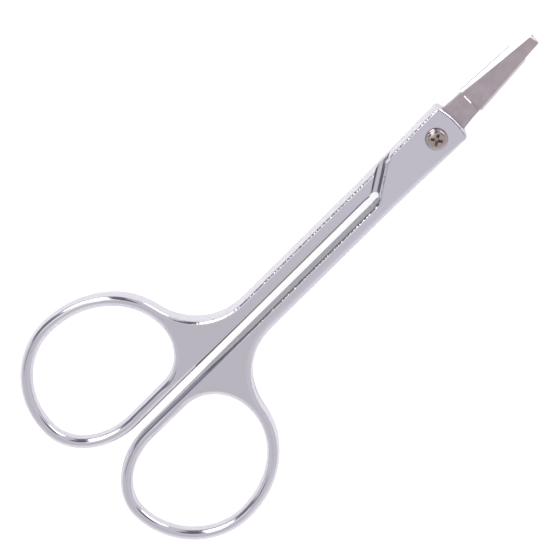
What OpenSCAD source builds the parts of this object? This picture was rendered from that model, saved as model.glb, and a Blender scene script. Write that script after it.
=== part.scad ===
// Small finger-ring trimmer: two lapped cast handles, two set-in blades and a pivot screw.
// The blades point along +X and the back of the castings rests on Z = 0.
// The origin is under the middle of the plan; every size along X is measured from the pivot axis.

/* [Castings] */
// full thickness of a handle casting
thick = 5; // [4:0.1:6.5]
// half of the gap between the two straight arms
arm_in = 0.88; // [0.76:0.02:1.1]
// half width over both arms
arm_out = 3.1; // [2.9:0.05:3.4]
// half width of the head at its front end
nose_half = 3.35; // [3.2:0.05:3.6]
// pivot axis to the front end of the head
nose_x = 3.75; // [3.4:0.05:4.5]
// how far the front end of the head bows out
nose_bow = 0.28; // [0:0.02:0.4]
// pivot axis to the crotch between the arms
crotch_x = 13.3; // [12.4:0.1:15.6]
// how far the step wall of an arm starts behind the crotch
step_back = 0.15; // [0:0.05:0.6]
// slope of the two crotch walls
crotch_angle = 33; // [28:1:40]
// width of the soft edge along the outside of an arm, on the outer face
arm_round = 1.3; // [0.6:0.05:1.4]
// edge rounding along the outside of an arm, on the lap side
lap_round = 0.5; // [0.2:0.05:0.7]
// edge rounding along the inside of an arm and on the free side of the head
in_round = 0.42; // [0.1:0.02:0.5]
// edge rounding at the front end of the head
nose_round = 0.5; // [0.3:0.05:0.7]
// width of the rounded edge of the crotch wall on the head
wall_round = 0.45; // [0.2:0.01:0.5]
// height of the same edge
wall_drop = 1.2; // [0.4:0.05:1.6]

/* [Finger rings] */
// pivot axis to the near side of the finger hole
hole_near = 50.7; // [48:0.1:56]
// finger hole along the handle
hole_long = 23.4; // [22:0.1:27]
// finger hole across the handle
hole_high = 18; // [17:0.1:22]
// half of the gap between the two rings
ring_in = 0.58; // [0.5:0.02:0.74]
// band width of the ring
ring_band = 2; // [1.9:0.05:2.4]
// width of the rounded edges of the ring
ring_round = 0.88; // [0.4:0.02:0.92]
// height of the rounded edges of the ring
ring_rise = 1.2; // [0.6:0.05:1.25]
// depth of the ring, to which the handle thins behind the neck
ring_deep = 2.8; // [2.6:0.1:3.6]
// pivot axis to the place where the arm starts to flare into the ring
neck_x = 38.7; // [34:0.1:41]

/* [Blades] */
// pivot axis to the blade tip
blade_long = 21.2; // [18:0.1:26]
// thickness of the blade stock
blade_thick = 1.2; // [0.9:0.05:1.5]
// pivot axis to the shoulder of the ground face
grind_x = 7.5; // [6.5:0.1:9]
// spine offset at the head
spine_root = 2.42; // [2.2:0.02:2.5]
// spine offset at the tip
spine_tip = 0.76; // [0.6:0.02:1.2]
// ricasso edge offset at the head
ricasso_root = 1.95; // [1.7:0.05:2.1]
// cutting edge offset at the heel
edge_heel = 2.2; // [2.1:0.05:2.4]
// cutting edge offset at the toe
edge_toe = 1.42; // [1.2:0.02:1.6]
// length of the blunt tip ahead of the toe
tip_long = 3.4; // [2.6:0.1:4.5]
// edge side offset at the end of the blunt tip
tip_edge = 1; // [0.8:0.05:1.1]
// corner radius of the blunt tip
tip_round = 0.55; // [0.4:0.05:0.75]
// thickness left at the cutting edge
edge_land = 0.2; // [0.12:0.02:0.4]
// pivot axis to the back end of the tang
tang_back = 6.2; // [5.4:0.1:6.8]
// chamfer on the back corners of the tang
tang_chamfer = 0.8; // [0.4:0.1:1.2]
// turn of the rear blade and its pocket, so that its edge closes past the front blade
rear_set = 1.5; // [0:0.1:1.8]

/* [Pivot screw] */
// diameter of the screw shank
shank_d = 2; // [1.8:0.1:2.4]
// diameter of the screw head
head_d = 3.3; // [3.2:0.1:4]
// height of the screw head
head_h = 1.15; // [0.9:0.05:1.5]
// height of the upright rim of the head
rim_h = 0.3; // [0.2:0.05:0.4]
// diameter of the crowned top of the head
crown_d = 2.2; // [1.9:0.05:2.5]
// rise of the crowned top
crown_rise = 0.12; // [0.05:0.01:0.2]
// depth of the cross recess
recess_deep = 0.75; // [0.5:0.05:0.8]
// length of the cross recess at its mouth
recess_long = 1.9; // [1.5:0.05:2.2]
// width of a wing of the cross recess
recess_wide = 0.48; // [0.3:0.02:0.6]
// turn of the cross recess
recess_turn = 32; // [0:1:90]

/* [Clearances] */
// play between the two lapped faces
lap_play = 0.04; // [0.02:0.01:0.1]
// radial play of the moving half on the shank
run_play = 0.03; // [0.02:0.01:0.08]
// radial fit of the fixed pieces on the shank
seat_play = 0.01; // [0.005:0.005:0.02]
// side fit of the tang in its pocket
tang_play = 0.02; // [0.01:0.01:0.05]
// play under the screw head
head_play = 0.02; // [0.01:0.01:0.06]

/* [Hidden] */
// round things are drawn with this many sides
$fn = 64;
// points along one quarter curve, and steps in one rounded edge
quarter = 16;
steps = 5;
// how far a cutting shape reaches past the piece
past = 4;

// the mid plane between the two halves, the lap face of a rear head and the floor of its pocket
mid = thick / 2;
lap_z = mid - lap_play / 2;
floor_z = lap_z - blade_thick;

// levels of the finger hole: the low straight side, the widest level and the top
hole_low = ring_in + ring_band;
hole_mid = hole_low + hole_high * 0.393;
hole_top = hole_low + hole_high;
hole_far = hole_near + hole_long;
drop = hole_mid - hole_low;
rise = hole_top - hole_mid;
// pivot axis to the middle of the plan
plan_x = (hole_far + ring_band - blade_long) / 2;
// centres of the hole's quarter curves: both top ones, the low front one and the low rear one
peak_x = -(hole_near + hole_long * 0.547);
front_x = -(hole_near + hole_long * 0.278);
rear_x = -(hole_near + hole_long * 0.603);
// half lengths of the same quarter curves
top_near = -hole_near - peak_x;
top_far = hole_far + peak_x;
low_near = -hole_near - front_x;
low_far = hole_far + rear_x;
// turn on the far top quarter above the end of the straight inner side
turn_a = acos((rear_x - peak_x) / (top_far + ring_band));
// where the ring's outside leaves the neck curve, and how far the neck's handles pull
join_a = 9;
neck_pull = 0.56;

// corner radius of the head in plan, and how far behind it the soft edge reaches its full width
corner = 0.8;
swell = 6;
// width and height of each kind of rounded edge
soft_edge = [arm_round, arm_round * 0.6];
lap_edge = [lap_round, lap_round];
in_edge = [in_round, in_round];
nose_edge = [nose_round, nose_round];
wall_edge = [wall_round, wall_drop];
ring_edge = [ring_round, ring_rise];
// start of the crotch wall on the free side of the head
wall_x = -crotch_x + (arm_out + arm_in) / tan(crotch_angle);
// half lengths of the soft corners at the start and the end of the crotch wall
bend = 0.8;
soft = 1.2;

// locking stud cast in the pocket, and how far it stays under the lap face
stud_r = 0.65;
stud_x = -4;
stud_low = 0.05;

// fall of the ricasso edge, and the small step at each end of the cutting edge
ricasso_fall = 0.2;
edge_step = 0.14;
// share of the blade's width that the ground face takes on the spine's side
grind_share = 0.86;

// how far the screw's end stays inside the back, and the foot and the mouth level of its recess
end_gap = 0.15;
recess_foot = 0.6;
recess_drop = 0.12;

function mixed(a, b, t) = a + (b - a) * t;
function wrap(i, n) = (i + n) % n;
// outline point with the rounded edge of its outer face and of its lap side
function edged(p, outer, lap) = [p[0], p[1], outer, lap];
// share of the change from arm to ring, and half of the depth that goes with it
function ring_share(x) =
    let (t = max(0, min(1, (x + neck_x) / (peak_x + neck_x))))
    t * t * (3 - 2 * t);
function half_at(x) = mixed(mid, ring_deep / 2, ring_share(x));
function on_curve(cx, a, b, t) = [cx + a * cos(t), hole_mid + b * sin(t)];
function arc_pts(cx, a, b, from, to, last) =
    [for (i = [0 : last]) on_curve(cx, a, b, mixed(from, to, i / quarter))];
function bezier(a, b, c, d, t) =
    a * pow(1 - t, 3) + b * 3 * t * pow(1 - t, 2) + c * 3 * t * t * (1 - t) + d * pow(t, 3);

// outside of the ring: the hole's top curves grown by the band
function ring_top(t) = on_curve(peak_x, (t < 90 ? top_near : top_far) + ring_band, rise + ring_band, t);
function ring_slope(t) =
    let (d = [-(top_near + ring_band) * sin(t), (rise + ring_band) * cos(t)])
    d / norm(d);

// neck: a concave sweep from the arm's outside up to the ring
neck_a = [-neck_x, arm_out];
neck_d = ring_top(join_a);
neck_b = neck_a - [(neck_a[0] - neck_d[0]) * neck_pull, 0];
neck_c = neck_d - ring_slope(join_a) * (neck_d[1] - neck_a[1]) * neck_pull;

// places along the head: behind its corner, about the start of the crotch wall and about the crotch
head_xs = concat(
    [nose_x - 2 * corner, wall_x + 2 * bend],
    [for (k = [1, 1 / 3, -1 / 3, -1]) wall_x + k * bend],
    [for (k = [1, 0.5, 0, -0.5, -1]) -crotch_x + k * soft]);
function edge_at(x) = mixed(arm_out, nose_half, max(0, (x + crotch_x) / (nose_x + crotch_x)));

// outer side: head corner, head, arm, neck and the ring over its top to the far end
corner_pts = [for (i = [0 : steps])
    let (t = 90 * i / steps)
    edged([nose_x - corner + corner * cos(t), nose_half - corner + corner * sin(t)], nose_edge, nose_edge)];
function head_edge(x) = mixed(nose_edge, soft_edge, max(0, min(1, (nose_x - corner - x) / swell)));
upper_head = [for (x = head_xs) edged([x, edge_at(x)], head_edge(x), lap_edge)];
upper_arm = [for (i = [1 : 6])
    edged([mixed(-crotch_x - soft, -neck_x, i / 6), arm_out], soft_edge, lap_edge)];
upper_neck = [for (i = [1 : 16])
    edged(bezier(neck_a, neck_b, neck_c, neck_d, i / 16), mixed(soft_edge, ring_edge, i / 16),
        mixed(lap_edge, ring_edge, i / 16))];
upper_ring = [for (i = [1 : 2 * quarter])
    edged(ring_top(mixed(join_a, turn_a, i / (2 * quarter))), ring_edge, ring_edge)];
upper_far = [for (i = [1 : quarter])
    edged(ring_top(mixed(turn_a, 180, i / quarter)), ring_edge, ring_edge)];
upper = concat(corner_pts, upper_head, upper_arm, upper_neck, upper_ring, upper_far);

// inner side: free head corner, crotch wall, straight inner side and the ring's low far quarter
free_corner = [for (i = [0 : steps])
    let (edge = mixed(nose_edge, in_edge, i / steps))
    edged([corner_pts[i][0], -corner_pts[i][1]], edge, edge)];
function soft_corner(d, half) = tan(crotch_angle) * pow(max(0, half - abs(d)), 2) / (4 * half);
function wall_line(x) =
    x > wall_x ? -edge_at(x)
    : x > -crotch_x ? -arm_out + (wall_x - x) * tan(crotch_angle)
    : arm_in;
function wall_at(x) = wall_line(x) + soft_corner(x - wall_x, bend) - soft_corner(x + crotch_x, soft);
function free_edge(x) = x > wall_x || x < -crotch_x ? in_edge : wall_edge;
free_head = [for (x = head_xs) edged([x, wall_at(x)], free_edge(x), free_edge(x))];
straight = [for (p = concat(upper_arm, upper_neck, upper_ring))
    let (share = ring_share(p[0]), edge = mixed(in_edge, ring_edge, share))
    edged([p[0], mixed(arm_in, ring_in, share)], edge, edge)];
low_turn = [for (i = [1 : quarter - 1])
    edged(on_curve(rear_x, low_far + ring_band, drop + ring_band, mixed(270, 180, i / quarter)),
        ring_edge, ring_edge)];
lower = concat(free_corner, free_head, straight, low_turn);

// bowed front end between the two head corners
bow = [for (i = [1 : 7])
    let (y = mixed(-nose_half + corner, nose_half - corner, i / 8))
    edged([nose_x + nose_bow * (1 - pow(y / (nose_half - corner), 2)), y], nose_edge, nose_edge)];

loop_pts = concat(upper, [for (i = [len(lower) - 1 : -1 : 0]) lower[i]], bow);
count = len(loop_pts);

// outline of the finger hole, from its low side round
hole_pts = concat(
    arc_pts(front_x, low_near, drop, -90, 0, quarter - 1),
    arc_pts(peak_x, top_near, rise, 0, 90, quarter - 1),
    arc_pts(peak_x, top_far, rise, 90, 180, quarter - 1),
    arc_pts(rear_x, low_far, drop, 180, 270, quarter));

function normal_at(pts, i) =
    let (a = pts[wrap(i - 1, len(pts))], c = pts[wrap(i + 1, len(pts))])
    let (d = [c[1] - a[1], a[0] - c[0]])
    d / norm(d);

// inset and height at x of the levels of a rounded edge, counted from the back face to the front face
last_level = 2 * steps + 1;
function edge_turn(j) = 90 * min(j, last_level - j) / steps;
function level_in(edge, j) = edge[0] * (1 - sin(edge_turn(j)));
function level_z(edge, j, x) =
    let (off = half_at(x) - edge[1] * (1 - cos(edge_turn(j))))
    mid + (j <= steps ? -off : off);

// side faces between stacked rings of n points
function skin(rings, n) = [for (j = [0 : rings - 2], i = [0 : n - 1])
    let (a = j * n + i, b = j * n + wrap(i + 1, n))
    each [[a, b + n, b], [a, a + n, b + n]]];

// rounded body of one casting, before its finger hole and lap are cut
module casting_body() {
    pts = [for (j = [0 : last_level], i = [0 : count - 1])
        let (p = loop_pts[i], edge = j <= steps ? p[2] : p[3])
        let (q = [p[0], p[1]] - normal_at(loop_pts, i) * level_in(edge, j))
        [q[0], q[1], level_z(edge, j, q[0])]];
    top = last_level * count;
    pairs = len(lower);
    low_end = count - len(bow) - 1;
    // the two flat faces are strips between the outer and the inner side
    strips = [for (i = [0 : pairs - 2])
        let (a = i, b = i + 1, c = low_end - i, d = c - 1)
        each [[a, b, d], [a, d, c], [top + a, top + d, top + b], [top + a, top + c, top + d]]];
    far = [[pairs - 1, pairs, pairs + 1], [top + pairs - 1, top + pairs + 1, top + pairs]];
    nose = concat([for (i = [low_end : count - 1]) i], [0]);
    ends = [nose, [for (i = [len(nose) - 1 : -1 : 0]) top + nose[i]]];
    polyhedron(points = pts, faces = concat(skin(last_level + 1, count), strips, far, ends));
}

// finger hole with flared edges
module finger_hole() {
    n = len(hole_pts);
    lip = 0.01;
    flare = ring_round + 3 * lip;
    turns = [1 : 2 * steps];
    outs = concat([flare, flare], [for (j = turns) level_in(ring_edge, j)], [flare, flare]);
    rings = len(outs);
    function cut_z(j, x) =
        j == 0 ? -past
        : j == 1 ? mid - half_at(x) - lip
        : j == rings - 2 ? mid + half_at(x) + lip
        : j == rings - 1 ? thick + past
        : level_z(ring_edge, j - 1, x);
    pts = [for (j = [0 : rings - 1], i = [0 : n - 1])
        let (q = hole_pts[i] + normal_at(hole_pts, i) * outs[j])
        [q[0], q[1], cut_z(j, q[0])]];
    top = (rings - 1) * n;
    ends = [[for (i = [0 : n - 1]) i], [for (i = [n - 1 : -1 : 0]) top + i]];
    polyhedron(points = pts, faces = concat(skin(rings, n), ends));
}

// plan of the region where a head is cut to half thickness, bounded by the step wall of the arm
module lap_plan() {
    foot = -crotch_x - step_back;
    run = 1.5 * past;
    slope = run * tan(crotch_angle);
    polygon([[foot - run, arm_in - slope], [foot + run, arm_in + slope], [nose_x + past, arm_in + slope],
        [nose_x + past, -arm_out - past], [foot - run, -arm_out - past]]);
}

// plan of the pocket for the tang, open at the front end of the head
module pocket_plan() {
    back = -tang_back - tang_play;
    low = -spine_root - tang_play;
    high = ricasso_root + tang_play;
    polygon([[back + tang_chamfer, low], [nose_x + past, low], [nose_x + past, high],
        [back + tang_chamfer, high], [back, high - tang_chamfer], [back, low + tang_chamfer]]);
}

// one handle casting, lying with its arm on the +Y side, its lap face up and its tang pocket turned
module casting(bore, set) {
    difference() {
        casting_body();
        finger_hole();
        translate([0, 0, lap_z]) linear_extrude(height = thick) lap_plan();
        rotate([0, 0, set]) difference() {
            translate([0, 0, floor_z]) linear_extrude(height = thick) pocket_plan();
            translate([stud_x, 0, 0]) cylinder(r = stud_r, h = lap_z - stud_low);
        }
        translate([0, 0, -past]) cylinder(d = bore, h = thick + 2 * past);
    }
}

// plan of a blade with its cutting edge on the +Y side
module blade_plan() {
    toe_x = blade_long - tip_long;
    end_x = blade_long - tip_round;
    low = -spine_tip;
    difference() {
        union() {
            polygon([[-tang_back + tang_chamfer, -spine_root], [nose_x, -spine_root], [end_x, low],
                [end_x, tip_edge], [toe_x + edge_step, edge_toe - 2 * edge_step], [toe_x, edge_toe],
                [grind_x + edge_step, edge_heel], [grind_x, ricasso_root - ricasso_fall],
                [nose_x, ricasso_root], [-tang_back + tang_chamfer, ricasso_root],
                [-tang_back, ricasso_root - tang_chamfer], [-tang_back, -spine_root + tang_chamfer]]);
            translate([end_x, low + tip_round]) circle(r = tip_round);
            translate([end_x, tip_edge - tip_round]) circle(r = tip_round);
            translate([end_x, low + tip_round]) square([tip_round, tip_edge - low - 2 * tip_round]);
        }
        translate([stud_x, 0]) circle(r = stud_r + tang_play);
    }
}

// stock removed behind the shoulder to make the sloped ground face
module grind() {
    toe_x = blade_long - tip_long;
    lean = atan((edge_heel - edge_toe) / (toe_x - grind_x));
    fall = atan((blade_thick - edge_land) / (edge_heel + spine_root * grind_share));
    intersection() {
        translate([grind_x, edge_heel, lap_z - edge_land]) rotate([0, 0, -lean]) rotate([fall, 0, 0])
            translate([-past, -blade_long, -thick]) cube([2 * blade_long, blade_long + past, thick]);
        translate([grind_x, -blade_long / 2, -past]) cube([2 * blade_long, blade_long, thick + past]);
    }
}

// one blade with its mating face up, in the rear half's place
module blade(bore) {
    difference() {
        translate([0, 0, floor_z]) linear_extrude(height = blade_thick) blade_plan();
        grind();
        translate([0, 0, -past]) cylinder(d = bore, h = thick + 2 * past);
    }
}

// one wing of the cross recess, with its mouth at Z = 0
module recess_wing() {
    mouth = recess_long / 2;
    foot = recess_foot / 2;
    rotate([90, 0, 0]) translate([0, 0, -recess_wide / 2]) linear_extrude(height = recess_wide)
        polygon([[-mouth, head_h], [-mouth, 0], [-foot, -recess_deep],
            [foot, -recess_deep], [mouth, 0], [mouth, head_h]]);
}

// half section of the pan head: upright rim, rounded shoulder and crowned top
module pan_profile() {
    rim = head_d / 2;
    crown = crown_d / 2;
    shoulder_h = head_h - crown_rise - rim_h;
    shoulder = [for (i = [0 : steps])
        let (t = 90 * i / steps)
        [crown + (rim - crown) * cos(t), rim_h + shoulder_h * sin(t)]];
    top = [for (i = [1 : steps])
        let (r = crown * (1 - i / steps))
        [r, head_h - crown_rise * pow(r / crown, 2)]];
    polygon(concat([[0, 0], [rim, 0]], shoulder, top));
}

// pan head screw standing on its axis
module screw() {
    base = thick + head_play;
    difference() {
        union() {
            translate([0, 0, base]) rotate_extrude() pan_profile();
            translate([0, 0, end_gap]) cylinder(d = shank_d, h = base);
        }
        translate([0, 0, base + head_h - recess_drop]) rotate([0, 0, recess_turn]) {
            recess_wing();
            rotate([0, 0, 90]) recess_wing();
        }
    }
}

// moves a piece from the pivot axis to its place in the plan
module placed() {
    translate([plan_x, 0, 0]) children();
}

// turns a rear piece into its front twin
module turned() {
    translate([0, 0, thick]) rotate([180, 0, 0]) children();
}

module rear_handle() {
    color([0.78, 0.78, 0.82]) placed() casting(shank_d + 2 * seat_play, rear_set);
}

module front_handle() {
    color([0.8, 0.8, 0.84]) placed() turned() casting(shank_d + 2 * run_play, 0);
}

module rear_blade() {
    color([0.62, 0.58, 0.6]) placed() rotate([0, 0, rear_set]) blade(shank_d + 2 * seat_play);
}

module front_blade() {
    color([0.64, 0.6, 0.62]) placed() turned() blade(shank_d + 2 * run_play);
}

module pivot_screw() {
    color([0.7, 0.66, 0.62]) placed() screw();
}

rear_handle();
front_handle();
rear_blade();
front_blade();
pivot_screw();
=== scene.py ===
# Small finger-ring trimmer lying on a white table: plated castings, satin blades, nickel screw.
import math

import bpy
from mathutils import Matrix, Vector


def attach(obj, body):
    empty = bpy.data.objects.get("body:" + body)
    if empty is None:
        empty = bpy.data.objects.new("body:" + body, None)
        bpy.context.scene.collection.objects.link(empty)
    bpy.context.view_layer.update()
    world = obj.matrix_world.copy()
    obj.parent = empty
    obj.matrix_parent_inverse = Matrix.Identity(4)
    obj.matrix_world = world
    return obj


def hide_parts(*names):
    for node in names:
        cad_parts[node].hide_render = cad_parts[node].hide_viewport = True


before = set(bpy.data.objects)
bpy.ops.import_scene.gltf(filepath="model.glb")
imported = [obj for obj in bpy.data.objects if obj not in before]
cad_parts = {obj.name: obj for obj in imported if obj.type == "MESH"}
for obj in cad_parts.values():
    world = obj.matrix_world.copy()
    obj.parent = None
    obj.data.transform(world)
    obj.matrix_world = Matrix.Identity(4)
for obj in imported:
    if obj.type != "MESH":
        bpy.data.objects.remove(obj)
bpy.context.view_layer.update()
mm = 0.001
touch = 0.001 * mm  # places closer than this are one
near = 0.01 * mm  # reach for finding vertices by their place
pivotX = 27.45 * mm
mixLow, mixHigh, mixOut = 6, 7, 2  # colour sockets of a Mix node


def hexColour(text):
    # sRGB hex to the linear colour that sockets take
    channels = [int(text[i:i + 2], 16) / 255 for i in (1, 3, 5)]
    return [c / 12.92 if c <= 0.04045 else ((c + 0.055) / 1.055) ** 2.4 for c in channels] + [1.0]


def addNode(tree, kind, links=(), **settings):
    # one node with its settings; a setting that isn't a property goes to the input socket of that name
    node = tree.nodes.new(kind)
    for name, value in settings.items():
        if hasattr(node, name):
            setattr(node, name, value)
        else:
            node.inputs[name.replace("_", " ")].default_value = value
    for source, target in links:
        tree.links.new(source, node.inputs[target])
    return node


def freshMaterial(name):
    material = bpy.data.materials.new(name)
    material.use_nodes = True
    tree = material.node_tree
    shader = tree.nodes["Principled BSDF"]
    return material, tree, shader


# bright chrome over a polished zinc casting: a clean mirror that waves a little on the flats,
# with plating nodules strung along the edges of head, arms and necks; the rings are smoother; painted shade darkens
# its inner corners
chromeLook = {"tint": "#e6e5ea", "cornerShadeTint": "#625e66", "cornerMm": 0.22, "cornerOpen": (0.45, 0.95),
              "waveMm": 7.0, "waveStrength": 0.05, "waveDeepMm": 0.2,
              "peelMm": 0.5, "peelStrength": 0.06, "peelDeepMm": 0.05,
              "noduleMm": 0.36, "noduleDeepMm": 0.055, "flatEnds": (0.995, 0.9), "wallEnds": (0.1, 0.5),
              "ringStartMm": -14, "ringEndMm": -24, "ringShare": 0.06, "rough": (0.03, 0.09)}


def brightChrome():
    material, tree, shader = freshMaterial("brightChromeOverCasting")
    coord = addNode(tree, "ShaderNodeTexCoord")
    shader.inputs["Metallic"].default_value = 1.0
    # painted shade: the base colour darkens in the inner corners, where the ambient occlusion closes in
    openness = addNode(tree, "ShaderNodeAmbientOcclusion", Distance=chromeLook["cornerMm"] * mm, samples=8)
    cornerShade = addNode(tree, "ShaderNodeMapRange", [(openness.outputs["AO"], "Value")],
                   From_Min=chromeLook["cornerOpen"][0], From_Max=chromeLook["cornerOpen"][1])
    cornerShadedTint = addNode(tree, "ShaderNodeMix", [(cornerShade.outputs["Result"], "Factor")], data_type="RGBA")
    cornerShadedTint.inputs[mixLow].default_value = hexColour(chromeLook["cornerShadeTint"])
    cornerShadedTint.inputs[mixHigh].default_value = hexColour(chromeLook["tint"])
    tree.links.new(cornerShadedTint.outputs[mixOut], shader.inputs["Base Color"])
    # slow waves left by the polishing wheel, then fine orange peel in the plating
    wave = addNode(tree, "ShaderNodeTexNoise", [(coord.outputs["Object"], "Vector")],
                   Scale=1 / (chromeLook["waveMm"] * mm), Detail=2.0)
    peel = addNode(tree, "ShaderNodeTexNoise", [(coord.outputs["Object"], "Vector")],
                   Scale=1 / (chromeLook["peelMm"] * mm), Detail=3.0)
    waveBump = addNode(tree, "ShaderNodeBump", [(wave.outputs["Fac"], "Height")],
                       Strength=chromeLook["waveStrength"], Distance=chromeLook["waveDeepMm"] * mm)
    peelBump = addNode(tree, "ShaderNodeBump",
                       [(peel.outputs["Fac"], "Height"), (waveBump.outputs["Normal"], "Normal")],
                       Strength=chromeLook["peelStrength"], Distance=chromeLook["peelDeepMm"] * mm)
    # an edge is where the surface turns from level to upright, and it gets smoother along the ring
    split = addNode(tree, "ShaderNodeSeparateXYZ", [(coord.outputs["Normal"], "Vector")])
    level = addNode(tree, "ShaderNodeMath", [(split.outputs["Z"], 0)], operation="ABSOLUTE")
    notFlat = addNode(tree, "ShaderNodeMapRange", [(level.outputs[0], "Value")],
                      From_Min=chromeLook["flatEnds"][0], From_Max=chromeLook["flatEnds"][1])
    notWall = addNode(tree, "ShaderNodeMapRange", [(level.outputs[0], "Value")],
                      From_Min=chromeLook["wallEnds"][0], From_Max=chromeLook["wallEnds"][1])
    place = addNode(tree, "ShaderNodeSeparateXYZ", [(coord.outputs["Object"], "Vector")])
    along = addNode(tree, "ShaderNodeMapRange", [(place.outputs["X"], "Value")],
                    From_Min=chromeLook["ringEndMm"] * mm, From_Max=chromeLook["ringStartMm"] * mm,
                    To_Min=chromeLook["ringShare"], To_Max=1.0)
    edge = addNode(tree, "ShaderNodeMath", [(notFlat.outputs[0], 0), (notWall.outputs[0], 1)], operation="MULTIPLY")
    edge = addNode(tree, "ShaderNodeMath", [(edge.outputs[0], 0), (along.outputs[0], 1)], operation="MULTIPLY")
    nodules = addNode(tree, "ShaderNodeTexNoise", [(coord.outputs["Object"], "Vector")],
                      Scale=1 / (chromeLook["noduleMm"] * mm), Detail=1.5)
    noduleBump = addNode(tree, "ShaderNodeBump",
                         [(nodules.outputs["Fac"], "Height"), (edge.outputs[0], "Strength"),
                          (peelBump.outputs["Normal"], "Normal")], Distance=chromeLook["noduleDeepMm"] * mm)
    rough = addNode(tree, "ShaderNodeMapRange", [(peel.outputs["Fac"], "Value")],
                    To_Min=chromeLook["rough"][0], To_Max=chromeLook["rough"][1])
    tree.links.new(rough.outputs["Result"], shader.inputs["Roughness"])
    tree.links.new(noduleBump.outputs["Normal"], shader.inputs["Normal"])
    return material


# rougher chrome for the walls in the crotch and the rim along the slot, with painted shade: darker grey, darkest on
# the wall that faces the rings
shadedWallLook = {"tint": "#b8b3be", "deepShadeTint": "#7a7680", "turnX": (-0.2, 0.2), "grainMm": 0.25, "rough": (0.2, 0.45)}


def shadedWallChrome():
    material, tree, shader = freshMaterial("roughChromeWithPaintedShade")
    coord = addNode(tree, "ShaderNodeTexCoord")
    shader.inputs["Metallic"].default_value = 1.0
    split = addNode(tree, "ShaderNodeSeparateXYZ", [(coord.outputs["Normal"], "Vector")])
    turned = addNode(tree, "ShaderNodeMapRange", [(split.outputs["X"], "Value")],
                     From_Min=shadedWallLook["turnX"][0], From_Max=shadedWallLook["turnX"][1])
    tint = addNode(tree, "ShaderNodeMix", [(turned.outputs["Result"], "Factor")], data_type="RGBA")
    tint.inputs[mixLow].default_value = hexColour(shadedWallLook["deepShadeTint"])
    tint.inputs[mixHigh].default_value = hexColour(shadedWallLook["tint"])
    tree.links.new(tint.outputs[mixOut], shader.inputs["Base Color"])
    grain = addNode(tree, "ShaderNodeTexNoise", [(coord.outputs["Object"], "Vector")],
                    Scale=1 / (shadedWallLook["grainMm"] * mm), Detail=3.0)
    rough = addNode(tree, "ShaderNodeMapRange", [(grain.outputs["Fac"], "Value")],
                    To_Min=shadedWallLook["rough"][0], To_Max=shadedWallLook["rough"][1])
    tree.links.new(rough.outputs["Result"], shader.inputs["Roughness"])
    return material


# stamped and ground stainless steel: satin, a little warm and mottled, with fine grinding marks across the blade
steelLook = {"light": "#ccc3c5", "dark": "#bfb2b5", "mottleMm": 1.6, "mottleEnds": (0.3, 0.7), "grindMm": 0.12,
             "grindStretch": 0.06, "grindStrength": 0.1, "grindDeepMm": 0.02, "rough": (0.28, 0.42)}


def satinSteel():
    material, tree, shader = freshMaterial("satinGroundSteel")
    coord = addNode(tree, "ShaderNodeTexCoord")
    shader.inputs["Metallic"].default_value = 1.0
    mottle = addNode(tree, "ShaderNodeTexNoise", [(coord.outputs["Object"], "Vector")],
                     Scale=1 / (steelLook["mottleMm"] * mm), Detail=5.0, Roughness=0.65)
    shade = addNode(tree, "ShaderNodeMapRange", [(mottle.outputs["Fac"], "Value")],
                    From_Min=steelLook["mottleEnds"][0], From_Max=steelLook["mottleEnds"][1])
    tint = addNode(tree, "ShaderNodeMix", [(shade.outputs["Result"], "Factor")], data_type="RGBA")
    tint.inputs[mixLow].default_value = hexColour(steelLook["dark"])
    tint.inputs[mixHigh].default_value = hexColour(steelLook["light"])
    tree.links.new(tint.outputs[mixOut], shader.inputs["Base Color"])
    stretch = addNode(tree, "ShaderNodeMapping", [(coord.outputs["Object"], "Vector")],
                      Scale=(1.0, steelLook["grindStretch"], 1.0))
    marks = addNode(tree, "ShaderNodeTexNoise", [(stretch.outputs["Vector"], "Vector")],
                    Scale=1 / (steelLook["grindMm"] * mm), Detail=4.0)
    rough = addNode(tree, "ShaderNodeMapRange", [(marks.outputs["Fac"], "Value")],
                    To_Min=steelLook["rough"][0], To_Max=steelLook["rough"][1])
    bump = addNode(tree, "ShaderNodeBump", [(marks.outputs["Fac"], "Height")],
                   Strength=steelLook["grindStrength"], Distance=steelLook["grindDeepMm"] * mm)
    tree.links.new(rough.outputs["Result"], shader.inputs["Roughness"])
    tree.links.new(bump.outputs["Normal"], shader.inputs["Normal"])
    return material


# the same steel where it is lapped bright: along the cutting edges and on the shoulder
lappedLook = {"tint": "#fcfafb", "lineMm": 0.05, "rough": (0.06, 0.16)}


def lappedSteel():
    material, tree, shader = freshMaterial("lappedBrightSteel")
    coord = addNode(tree, "ShaderNodeTexCoord")
    shader.inputs["Metallic"].default_value = 1.0
    shader.inputs["Base Color"].default_value = hexColour(lappedLook["tint"])
    lines = addNode(tree, "ShaderNodeTexNoise", [(coord.outputs["Object"], "Vector")],
                    Scale=1 / (lappedLook["lineMm"] * mm), Detail=2.0)
    rough = addNode(tree, "ShaderNodeMapRange", [(lines.outputs["Fac"], "Value")],
                    To_Min=lappedLook["rough"][0], To_Max=lappedLook["rough"][1])
    tree.links.new(rough.outputs["Result"], shader.inputs["Roughness"])
    return material


# nickel plated steel screw: warmer and duller than the chrome, with a brownish painted shade down in the cross recess
nickelLook = {"tint": "#bdb1ac", "recessShadeTint": "#a8988f", "grainMm": 0.3, "rough": (0.08, 0.2),
              "recessTopMm": 5.85, "recessFootMm": 5.3, "recessReachMm": 0.98}


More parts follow.
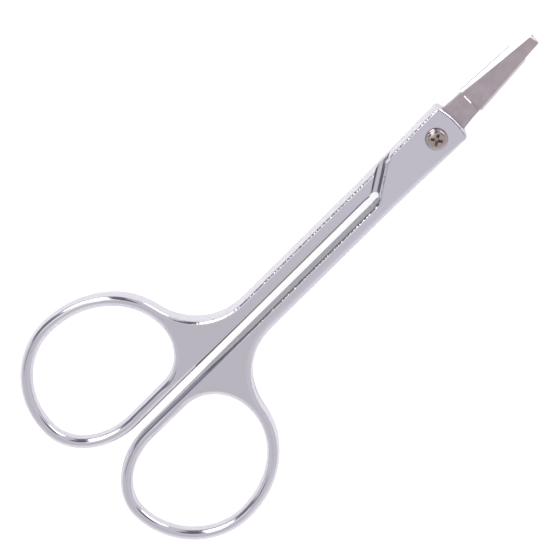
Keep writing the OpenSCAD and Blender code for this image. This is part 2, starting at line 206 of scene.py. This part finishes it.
def warmNickel():
    material, tree, shader = freshMaterial("warmNickelPlate")
    coord = addNode(tree, "ShaderNodeTexCoord")
    shader.inputs["Metallic"].default_value = 1.0
    # painted shade grows with how deep a place lies in the recess, counted only near the screw's axis
    place = addNode(tree, "ShaderNodeSeparateXYZ", [(coord.outputs["Object"], "Vector")])
    deep = addNode(tree, "ShaderNodeMapRange", [(place.outputs["Z"], "Value")],
                   From_Min=nickelLook["recessTopMm"] * mm, From_Max=nickelLook["recessFootMm"] * mm)
    away = addNode(tree, "ShaderNodeVectorMath", [(coord.outputs["Object"], 0)], operation="MULTIPLY_ADD")
    away.inputs[1].default_value = (1, 1, 0)
    away.inputs[2].default_value = (-pivotX, 0, 0)
    reach = addNode(tree, "ShaderNodeVectorMath", [(away.outputs["Vector"], 0)], operation="LENGTH")
    inside = addNode(tree, "ShaderNodeMath", [(reach.outputs["Value"], 0)], operation="LESS_THAN")
    inside.inputs[1].default_value = nickelLook["recessReachMm"] * mm
    recessShade = addNode(tree, "ShaderNodeMath", [(deep.outputs["Result"], 0), (inside.outputs[0], 1)],
                    operation="MULTIPLY")
    tint = addNode(tree, "ShaderNodeMix", [(recessShade.outputs[0], "Factor")], data_type="RGBA")
    tint.inputs[mixLow].default_value = hexColour(nickelLook["tint"])
    tint.inputs[mixHigh].default_value = hexColour(nickelLook["recessShadeTint"])
    tree.links.new(tint.outputs[mixOut], shader.inputs["Base Color"])
    grain = addNode(tree, "ShaderNodeTexNoise", [(coord.outputs["Object"], "Vector")],
                    Scale=1 / (nickelLook["grainMm"] * mm), Detail=3.0)
    rough = addNode(tree, "ShaderNodeMapRange", [(grain.outputs["Fac"], "Value")],
                    To_Min=nickelLook["rough"][0], To_Max=nickelLook["rough"][1])
    tree.links.new(rough.outputs["Result"], shader.inputs["Roughness"])
    return material


chromeMat = brightChrome()
shadedWallMat = shadedWallChrome()
steelMat = satinSteel()
lappedMat = lappedSteel()
nickelMat = warmNickel()
print("materials made")


def mergedCopy(nodeName, pieceName):
    # a copy of the CAD node with its loose triangles joined and its flat faces made whole
    bpy.ops.object.select_all(action="DESELECT")
    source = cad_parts[nodeName]
    piece = bpy.data.objects.new(pieceName, source.data.copy())
    bpy.context.scene.collection.objects.link(piece)
    bpy.context.view_layer.objects.active = piece
    piece.select_set(True)
    bpy.ops.object.mode_set(mode="EDIT")
    bpy.ops.mesh.select_all(action="SELECT")
    bpy.ops.mesh.remove_doubles(threshold=touch)
    bpy.ops.mesh.dissolve_limited(angle_limit=math.radians(0.1))
    bpy.ops.object.mode_set(mode="OBJECT")
    return piece


def finishPiece(piece, node, body, material, sharpAngle=35):
    bpy.ops.object.select_all(action="DESELECT")
    bpy.context.view_layer.objects.active = piece
    piece.select_set(True)
    bpy.ops.object.shade_smooth()
    bpy.ops.object.mode_set(mode="EDIT")
    bpy.ops.mesh.select_mode(type="EDGE")
    bpy.ops.mesh.select_all(action="DESELECT")
    bpy.ops.mesh.edges_select_sharp(sharpness=math.radians(sharpAngle))
    bpy.ops.mesh.mark_sharp()
    bpy.ops.object.mode_set(mode="OBJECT")
    even = piece.modifiers.new("evenNormals", "WEIGHTED_NORMAL")
    even.keep_sharp = True
    even.weight = 80  # large flat faces lead
    bpy.ops.object.modifier_apply(modifier=even.name)
    piece.data.materials.clear()
    piece.data.materials.append(material)
    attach(piece, body)
    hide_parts(node)


def pickVerts(piece, test):
    # selects the vertices that pass the test and leaves the piece in edit mode
    bpy.ops.object.select_all(action="DESELECT")
    bpy.context.view_layer.objects.active = piece
    piece.select_set(True)
    bpy.ops.object.mode_set(mode="EDIT")
    bpy.ops.mesh.select_mode(type="VERT")
    bpy.ops.mesh.select_all(action="DESELECT")
    bpy.ops.object.mode_set(mode="OBJECT")
    for vert in piece.data.vertices:
        vert.select = test(vert.co)
    bpy.ops.object.mode_set(mode="EDIT")


def paintFaces(piece, material, test):
    # gives the faces that pass the test a second material
    piece.data.materials.append(material)
    for face in piece.data.polygons:
        if test(face):
            face.material_index = len(piece.data.materials) - 1


# handles: each casting as in the CAD, with the step wall of the arm leaning back like a cast wall
# and the slanted wall of the head chamfered along its top and drafted down to its foot
# wallRows: height and place of a CAD row on that wall, then its new height and place, all in mm
handleLook = {"stepX": 14.0 * mm, "stepY": 0.88 * mm, "slant": 33, "lean": 0.8 * mm, "thick": 5 * mm,
              "slotY": 0.3 * mm, "stepReach": (-1 * mm, 6 * mm), "rimX": -24 * mm, "rimY": 1.5 * mm,
              "wallX": 14.15 * mm, "wallY": -0.88 * mm, "wallReach": (15.1 * mm, 19.9 * mm),
              "wallBand": (-0.5 * mm, 0.4 * mm), "wallShadeFrom": 0.15 * mm, "facing": 0.9,
              "wallRows": [(5.0, -0.45, 5.0, -0.3), (4.94, -0.311, 4.955, -0.12), (4.77, -0.185, 4.78, 0.2),
                           (4.51, -0.086, 4.45, 0.24), (4.17, -0.022, 4.0, 0.28), (3.8, 0, 3.5, 0.31),
                           (2.52, 0, 2.52, 0.385)]}
slope = math.tan(math.radians(handleLook["slant"]))
wallOut = Vector((-slope, 1)).normalized()
for nodeName, body, side, lapZ in (("rear_handle", "rear_half", 1, 2.48 * mm),
                                   ("front_handle", "front_half", -1, 2.52 * mm)):
    piece = mergedCopy(nodeName, nodeName + "Piece")

    def onStepFoot(co):
        rise = co.y * side - handleLook["stepY"] - slope * (co.x - handleLook["stepX"])
        return abs(co.z - lapZ) < near and abs(rise) < near and co.y * side > handleLook["slotY"]

    def wallPlace(co):
        # how far a place lies outside the slanted wall
        return Vector((co.x - handleLook["wallX"], -co.y * side - handleLook["wallY"])).dot(wallOut)

    def onWall(co):
        first, last = handleLook["wallReach"]
        inner, outer = handleLook["wallBand"]
        return first < co.x < last and inner < wallPlace(co) < outer

    pickVerts(piece, onStepFoot)
    bpy.ops.transform.translate(value=(handleLook["lean"], 0, 0))
    bpy.ops.object.mode_set(mode="OBJECT")
    moved = 0
    for vert in piece.data.vertices:
        height = vert.co.z if side < 0 else handleLook["thick"] - vert.co.z
        for rowZ, rowOut, newZ, newOut in handleLook["wallRows"]:
            onRow = abs(height - rowZ * mm) < 2 * near and abs(wallPlace(vert.co) - rowOut * mm) < near
            if onWall(vert.co) and onRow:
                shift = wallOut * (newOut - rowOut) * mm
                vert.co += Vector((shift.x, -side * shift.y, -side * (newZ * mm - height)))
                moved += 1
                break
    finishPiece(piece, nodeName, body, chromeMat)
    stepOut = Vector((slope, -side, 0)).normalized()
    headOut = Vector((-slope, -side, 0)).normalized()

    def isShaded(face):
        # painted shade goes on these faces: the step wall, the head's wall below its chamfer, and the rim of the arm
        # along the slot
        place, turn = face.center, face.normal
        aside = place.y * side
        first, last = handleLook["stepReach"]
        onStep = (turn.dot(stepOut) > handleLook["facing"] and aside > handleLook["slotY"]
                  and first < place.x - handleLook["stepX"] < last)
        onHead = (turn.dot(headOut) > handleLook["facing"] and onWall(place)
                  and wallPlace(place) > handleLook["wallShadeFrom"])
        onRim = (turn.z * side > 0.1 and turn.y * side < -0.3 and handleLook["slotY"] < aside < handleLook["rimY"]
                 and handleLook["rimX"] < place.x < handleLook["stepX"])
        return onStep or onHead or onRim

    # these faces get the rougher chrome with painted shade
    paintFaces(piece, shadedWallMat, isShaded)
    print(nodeName, "done,", len(piece.data.polygons), "faces,", moved, "wall places moved")

# blades: satin faces, with a bright lapped strip leaning off along each cutting edge
# strip: its width at heel and toe of the edge; lean in degrees
bladeLook = {"rearStrip": (0.4 * mm, 0.87 * mm), "rearLean": 12, "frontStrip": (0.27 * mm, 0.27 * mm), "frontLean": 20,
             "land": 0.12 * mm, "shoulderX": pivotX + 7.5 * mm, "shoulderCut": 0.08 * mm,
             "shoulderY": (-0.15 * mm, -0.05 * mm, 1.5 * mm, 1.6 * mm),
             "tipX": pivotX + 20.72 * mm, "tipZ": 3.12 * mm, "tipLean": 45}
shoulderX, shoulderCut = bladeLook["shoulderX"], bladeLook["shoulderCut"]
for nodeName, body, side, edgeZ, strip, lean in (
        ("rear_blade", "rear_half", 1, 2.48 * mm, bladeLook["rearStrip"], bladeLook["rearLean"]),
        ("front_blade", "front_half", -1, 2.72 * mm, bladeLook["frontStrip"], bladeLook["frontLean"])):
    piece = mergedCopy(nodeName, nodeName + "Piece")
    # the cutting edge is the longest edge at its height
    points = [v.co.copy() for v in piece.data.vertices]
    ends = [[points[i] for i in e.vertices] for e in piece.data.edges]
    ends = [pair for pair in ends if all(abs(co.z - edgeZ) < near and co.y * side > 0 for co in pair)]
    heel, toe = sorted(max(ends, key=lambda pair: (pair[1] - pair[0]).length), key=lambda co: co.x)
    across = Vector((0, -side, 0))
    line = heel + across * strip[0]
    along = (toe + across * strip[1] - line).normalized()
    inward = Vector((along.y, -along.x, 0)) * side
    if side < 0:
        # a sloping facet across the top of the blunt tip
        tilt = math.radians(bladeLook["tipLean"])
        pickVerts(piece, lambda co: True)
        bpy.ops.mesh.bisect(plane_co=(bladeLook["tipX"], 0, bladeLook["tipZ"]),
                            plane_no=(math.sin(tilt), 0, math.cos(tilt)), use_fill=True, clear_outer=True,
                            threshold=touch)
        bpy.ops.object.mode_set(mode="OBJECT")
        # and a small chamfer on the middle of the shoulder
        top = max(v.co.z for v in piece.data.vertices)
        cuts = [((shoulderX - shoulderCut, 0, 0), (1, 0, 0))]
        cuts += [((0, y, 0), (0, 1, 0)) for y in bladeLook["shoulderY"]]
        for spot, normal in cuts:
            pickVerts(piece, lambda co: co.z > top - near or abs(co.x - shoulderX) < near)
            bpy.ops.mesh.bisect(plane_co=spot, plane_no=normal, threshold=touch)
            bpy.ops.object.mode_set(mode="OBJECT")
        low, high = bladeLook["shoulderY"][1:3]
        pickVerts(piece, lambda co: abs(co.x - shoulderX) < near and co.z > top - near
                  and low - near < co.y < high + near)
        bpy.ops.transform.translate(value=(0, 0, -shoulderCut))
        bpy.ops.object.mode_set(mode="OBJECT")
    # the strip's inner line, then the line of the narrow satin land left on the very edge
    land = heel + across * bladeLook["land"]
    outward = Vector((heel.y - toe.y, toe.x - heel.x, 0)).normalized() * side
    for spot, normal in ((line, inward), (land, outward)):
        pickVerts(piece, lambda co: co.z > edgeZ - near)
        bpy.ops.mesh.select_mode(type="FACE")
        bpy.ops.mesh.bisect(plane_co=spot, plane_no=normal, threshold=touch)
        bpy.ops.object.mode_set(mode="OBJECT")
    for vert in piece.data.vertices:
        out = (line - vert.co).dot(inward)
        if out > touch and vert.co.z > edgeZ - near and vert.co.x > shoulderX + 3 * near:
            out -= max(0, (vert.co - land).dot(outward))
            vert.co.z -= out * math.tan(math.radians(lean))
    finishPiece(piece, nodeName, body, steelMat, sharpAngle=8)

    def isBright(face):
        # the strip without its land, and the chamfer on the shoulder
        place, turn = face.center, face.normal
        onTop = turn.z > 0.5 and place.x > shoulderX - shoulderCut
        onStrip = (line - place).dot(inward) > touch and (place - land).dot(outward) < 0
        onShoulder = turn.x > 0.5 and place.x < shoulderX + 0.1 * mm
        return onTop and (onStrip or onShoulder)

    paintFaces(piece, lappedMat, isBright)
    print(nodeName, "done,", len(piece.data.polygons), "faces, edge", [round(v / mm, 2) for v in (*heel, *toe)])

# screw: the pan head as in the CAD
piece = mergedCopy("pivot_screw", "pivotScrewPiece")
finishPiece(piece, "pivot_screw", "rear_half", nickelMat)
print("screw done")

# white table, bright for the camera and in the metal, with the object's own shadow
tableLook = {"size": 4.0, "colour": "#fbfafb", "rough": 0.9, "cameraLift": 0.75, "glossLift": 0.2}
bpy.ops.object.select_all(action="DESELECT")
bpy.ops.mesh.primitive_plane_add(size=tableLook["size"], location=(0, 0, 0))
table = bpy.context.object
table.name = "table"
tableMat, tree, shader = freshMaterial("whitePaperTable")
shader.inputs["Base Color"].default_value = hexColour(tableLook["colour"])
shader.inputs["Roughness"].default_value = tableLook["rough"]
shader.inputs["Specular IOR Level"].default_value = 0.0
rays = addNode(tree, "ShaderNodeLightPath")
cameraLift = addNode(tree, "ShaderNodeMath", [(rays.outputs["Is Camera Ray"], 0)], operation="MULTIPLY")
cameraLift.inputs[1].default_value = tableLook["cameraLift"]
glossLift = addNode(tree, "ShaderNodeMath", [(rays.outputs["Is Glossy Ray"], 0), (cameraLift.outputs[0], 2)],
                    operation="MULTIPLY_ADD")
glossLift.inputs[1].default_value = tableLook["glossLift"]
glow = addNode(tree, "ShaderNodeEmission", [(glossLift.outputs[0], "Strength")])
both = addNode(tree, "ShaderNodeAddShader", [(shader.outputs[0], 0), (glow.outputs[0], 1)])
tree.links.new(both.outputs[0], tree.nodes["Material Output"].inputs["Surface"])
table.data.materials.append(tableMat)

# studio round the table: a pale tent with two windows, two ceiling lamps and darker places between them
# each patch: azimuth and elevation of its middle, inner and outer half angle in degrees, colour, level
tent = {"base": "#d8d5dd", "baseLevel": 0.95}
patches = [
    ("ceilingShade", 209, 70, 4.5, 10.5, "#d1ced4", 0.95),
    ("paleBack", 230, 0, 10, 65, "#f6f1f5", 1.0),
    ("windowLeft", 66, 40, 20, 24, "#ffffff", 4.0),
    ("ceilingLamp", 121, 69, 6, 9, "#ffffff", 1.1),
    ("ceilingLampNear", 96, 76, 4, 6, "#ffffff", 2.0),
    ("windowRight", 2, 6, 14, 19, "#ffffff", 3.0),
    ("darkRight", 344, 51, 9, 14, "#3a383e", 1.0),
    ("darkWallFar", 145, 55, 6, 10, "#6a6870", 1.0),
    ("darkWallHigh", 112, 46, 9, 14, "#84828c", 1.0),
    ("darkWallMid", 108, 28, 11, 15, "#84828c", 1.0),
    ("darkWallLow", 106, 8, 9, 14, "#84828c", 1.0),
    ("darkFrontTop", 46, 64, 7, 11, "#5e585e", 1.0),
    ("darkFrontHigh", 46, 50, 9, 13, "#686268", 1.0),
    ("darkFrontMid", 47, 31, 9, 13, "#7c7880", 1.0),
    ("darkFrontLow", 47, 12, 8, 13, "#7c7880", 1.0),
]
world = bpy.data.worlds.new("paleTent")
bpy.context.scene.world = world
world.use_nodes = True
tree = world.node_tree
back = tree.nodes["Background"]
coord = addNode(tree, "ShaderNodeTexCoord")
tentColour = [c * tent["baseLevel"] for c in hexColour(tent["base"])[:3]] + [1.0]
last = None
for name, azimuth, elevation, inner, outer, shade, strength in patches:
    a, e = math.radians(azimuth), math.radians(elevation)
    axis = (math.cos(a) * math.cos(e), math.sin(a) * math.cos(e), math.sin(e))
    facing = addNode(tree, "ShaderNodeVectorMath", [(coord.outputs["Generated"], 0)],
                     operation="DOT_PRODUCT", label=name)
    facing.inputs[1].default_value = axis
    share = addNode(tree, "ShaderNodeMapRange", [(facing.outputs["Value"], "Value")],
                    interpolation_type="SMOOTHSTEP", From_Min=math.cos(math.radians(outer)),
                    From_Max=math.cos(math.radians(inner)))
    mix = addNode(tree, "ShaderNodeMix", [(share.outputs["Result"], "Factor")], data_type="RGBA")
    if last is None:
        mix.inputs[mixLow].default_value = tentColour
    else:
        tree.links.new(last, mix.inputs[mixLow])
    mix.inputs[mixHigh].default_value = [c * strength for c in hexColour(shade)[:3]] + [1.0]
    last = mix.outputs[mixOut]
rays = addNode(tree, "ShaderNodeLightPath")
seen = addNode(tree, "ShaderNodeMix", [(rays.outputs["Is Camera Ray"], "Factor"), (last, mixLow)], data_type="RGBA")
seen.inputs[mixHigh].default_value = (1, 1, 1, 1)
tree.links.new(seen.outputs[mixOut], back.inputs["Color"])
print("studio ready")

# the photograph looks down on the table, leaning towards the blades' left
shot = {"tilt": 14.0, "turn": 45.5, "aim": (-3.96 * mm, 3.02 * mm, 10.06 * mm), "distance": 430 * mm, "lens": 184.4}
tilt, turn = math.radians(shot["tilt"]), math.radians(shot["turn"])
towards = (math.sin(tilt) * math.sin(turn), math.sin(tilt) * math.cos(turn), math.cos(tilt))
place = [aim + shot["distance"] * part for aim, part in zip(shot["aim"], towards)]
bpy.ops.object.camera_add(location=place, rotation=(-tilt, 0, -turn))
camera = bpy.context.object
camera.data.lens = shot["lens"]
camera.data.sensor_width = 36
camera.data.clip_start = 0.01
bpy.context.scene.camera = camera

bpy.context.scene.view_settings.view_transform = "Standard"
